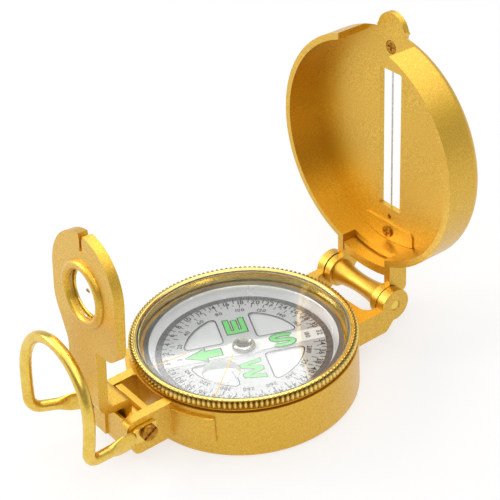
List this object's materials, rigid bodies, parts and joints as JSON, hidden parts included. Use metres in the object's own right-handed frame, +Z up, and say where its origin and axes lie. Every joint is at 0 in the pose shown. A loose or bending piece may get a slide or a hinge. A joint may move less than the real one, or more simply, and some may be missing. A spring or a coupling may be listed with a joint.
{
  "type": "magnetic compass",
  "caption": "Liquid-filled sighting compass with turning bezel, magnifying lens bracket, slotted cover with wire, and thumb loop.",
  "frame": {"origin": "centre of the case's flat underside", "axes": "+Z up through the dial, +Y from the dial towards the cover's hinge, +X to the right when sighting through the lens bracket towards the cover"},
  "size_m": [0.0556, 0.0964, 0.0774],
  "materials": {
    "gold_paint": "fine-grained satin gold paint on die-cast aluminium",
    "polished_brass": "polished",
    "satin_brass": "satin",
    "steel": "satin",
    "cup_metal": "satin",
    "glass": "clear polished",
    "rubber": "matt",
    "dial_print": "printed white",
    "index_paint": "luminous yellow paint",
    "jewel": "polished"
  },
  "bodies": {
    "case_body": {"case": "gold_paint", "capsule_cup": "cup_metal", "capsule_window": "glass", "capsule_seal": "rubber", "expansion_diaphragm": "satin_brass", "pivot_post": "satin_brass", "pivot_tip": "steel", "bezel_retainer": "steel", "loop_screws": "satin_brass", "hinge_pin": "gold_paint"},
    "bezel_body": {"bezel_ring": "polished_brass", "crystal": "glass", "crystal_gasket": "rubber", "index_lines": "index_paint"},
    "dial_body": {"dial_card": "dial_print", "magnet_bar": "steel", "card_hub": "polished_brass", "jewel_bearing": "jewel", "jewel_cap": "steel"},
    "cover_body": {"cover": "gold_paint", "wire_plate": "gold_paint", "sighting_wire": "steel", "wire_screws": "satin_brass"},
    "bracket_body": {"lens_bracket": "gold_paint", "lens": "glass", "lens_retainer": "gold_paint"},
    "loop_body": {"thumb_loop": "satin_brass"}
  },
  "joints": [
    {"name": "cover_hinge", "type": "hinge", "parent": "case_body", "child": "cover_body", "pos_m": [0, 0.0354, 0.0107], "axis": [1, 0, 0], "range_deg": [-89, 91]},
    {"name": "lens_bracket_hinge", "type": "hinge", "parent": "case_body", "child": "bracket_body", "pos_m": [0, -0.0324, 0.0091], "axis": [-1, 0, 0], "range_deg": [-8, 85]},
    {"name": "thumb_loop_hinge", "type": "hinge", "parent": "case_body", "child": "loop_body", "pos_m": [0, -0.0324, 0.0091], "axis": [-1, 0, 0], "range_deg": [-100, 10]},
    {"name": "bezel_spin", "type": "hinge", "parent": "case_body", "child": "bezel_body", "pos_m": [0, 0, 0.0125], "axis": [0, 0, 1], "continuous": true},
    {"name": "card_spin", "type": "hinge", "parent": "case_body", "child": "dial_body", "pos_m": [0, 0, 0.0095], "axis": [0, 0, 1], "continuous": true}
  ]
}
